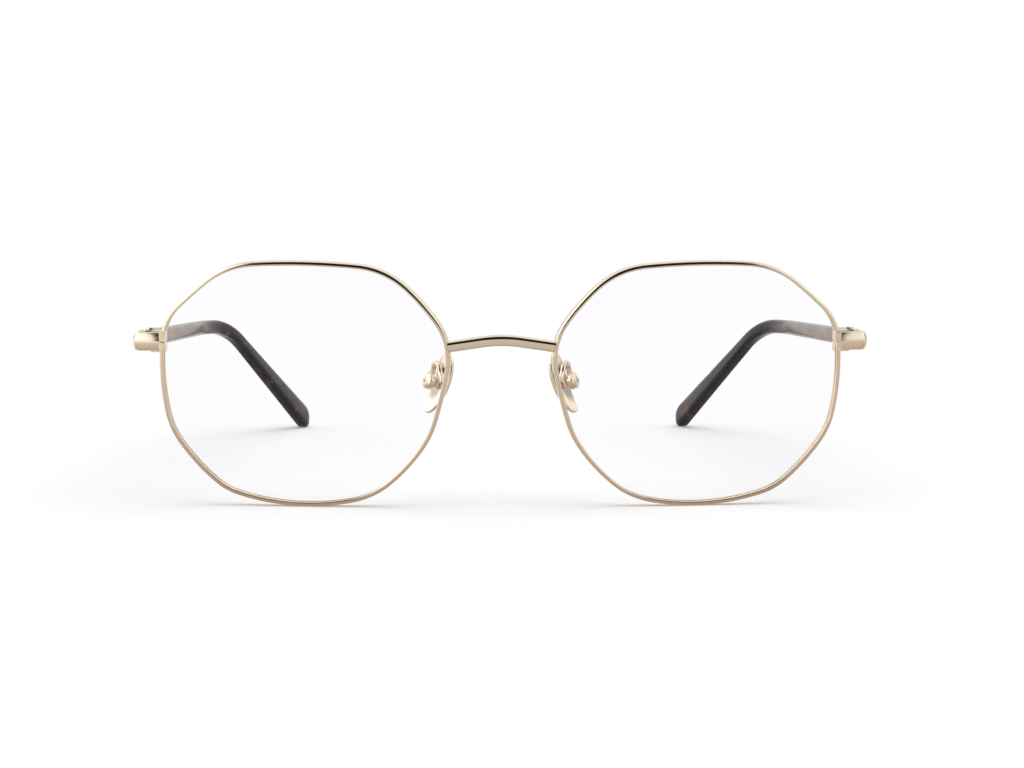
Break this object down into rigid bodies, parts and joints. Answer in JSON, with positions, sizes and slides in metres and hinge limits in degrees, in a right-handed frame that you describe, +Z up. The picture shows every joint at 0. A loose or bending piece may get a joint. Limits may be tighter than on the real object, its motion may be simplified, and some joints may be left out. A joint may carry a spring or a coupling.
{
  "type": "eyeglass frame",
  "caption": "Round-cornered geometric wire eyeglass frame with a bowed bar bridge, metal nose pads on arms, barrel hinges and folding tortoise acetate temples.",
  "frame": {"origin": "centre of the footprint on the surface that the open frame stands on", "axes": "+Z up, -Y out of the front of the lenses, +Y along the open temples, +X to the wearer's left"},
  "size_m": [0.1352, 0.1526, 0.0453],
  "materials": {
    "frame_gold": "polished pale gold plating",
    "pad_metal": "polished pale gold plating",
    "screw_gold": "polished",
    "core_steel": "drawn wire",
    "tortoise_acetate": "polished tortoise pattern",
    "lens_clear": "polished, clear"
  },
  "bodies": {
    "front": {"bridge": "frame_gold", "rim_right": "frame_gold", "rim_left": "frame_gold", "lens_right": "lens_clear", "lens_left": "lens_clear", "rim_lock_upper_right": "frame_gold", "rim_lock_upper_left": "frame_gold", "rim_lock_lower_right": "frame_gold", "rim_lock_lower_left": "frame_gold", "rim_lock_screw_right": "screw_gold", "rim_lock_screw_left": "screw_gold", "endpiece_right": "frame_gold", "endpiece_left": "frame_gold", "hinge_front_right": "frame_gold", "hinge_front_left": "frame_gold", "hinge_screw_right": "screw_gold", "hinge_screw_left": "screw_gold", "pad_arm_right": "frame_gold", "pad_arm_left": "frame_gold", "pad_cup_right": "frame_gold", "pad_cup_left": "frame_gold", "pad_screw_right": "screw_gold", "pad_screw_left": "screw_gold"},
    "temple_right": {"hinge_temple_right": "frame_gold", "temple_core_right": "core_steel", "temple_right": "tortoise_acetate"},
    "temple_left": {"hinge_temple_left": "frame_gold", "temple_core_left": "core_steel", "temple_left": "tortoise_acetate"},
    "nose_pad_right": {"nose_pad_right": "pad_metal", "pad_mount_right": "pad_metal"},
    "nose_pad_left": {"nose_pad_left": "pad_metal", "pad_mount_left": "pad_metal"}
  },
  "joints": [
    {"name": "fold_left", "type": "hinge", "parent": "front", "child": "temple_left", "pos_m": [0.06487, -0.06267, 0.03034], "axis": [0, 0, 1], "range_deg": [0, 84]},
    {"name": "fold_right", "type": "hinge", "parent": "front", "child": "temple_right", "pos_m": [-0.06487, -0.06267, 0.03034], "axis": [0, 0, -1], "range_deg": [0, 71]},
    {"name": "rock_pad_left", "type": "hinge", "parent": "front", "child": "nose_pad_left", "pos_m": [0.01214, -0.06738, 0.02265], "axis": [0.4093, 0.8988, 0.1571], "range_deg": [-12, 12]},
    {"name": "rock_pad_right", "type": "hinge", "parent": "front", "child": "nose_pad_right", "pos_m": [-0.01214, -0.06738, 0.02265], "axis": [-0.4093, 0.8988, 0.1571], "range_deg": [-12, 12]}
  ]
}
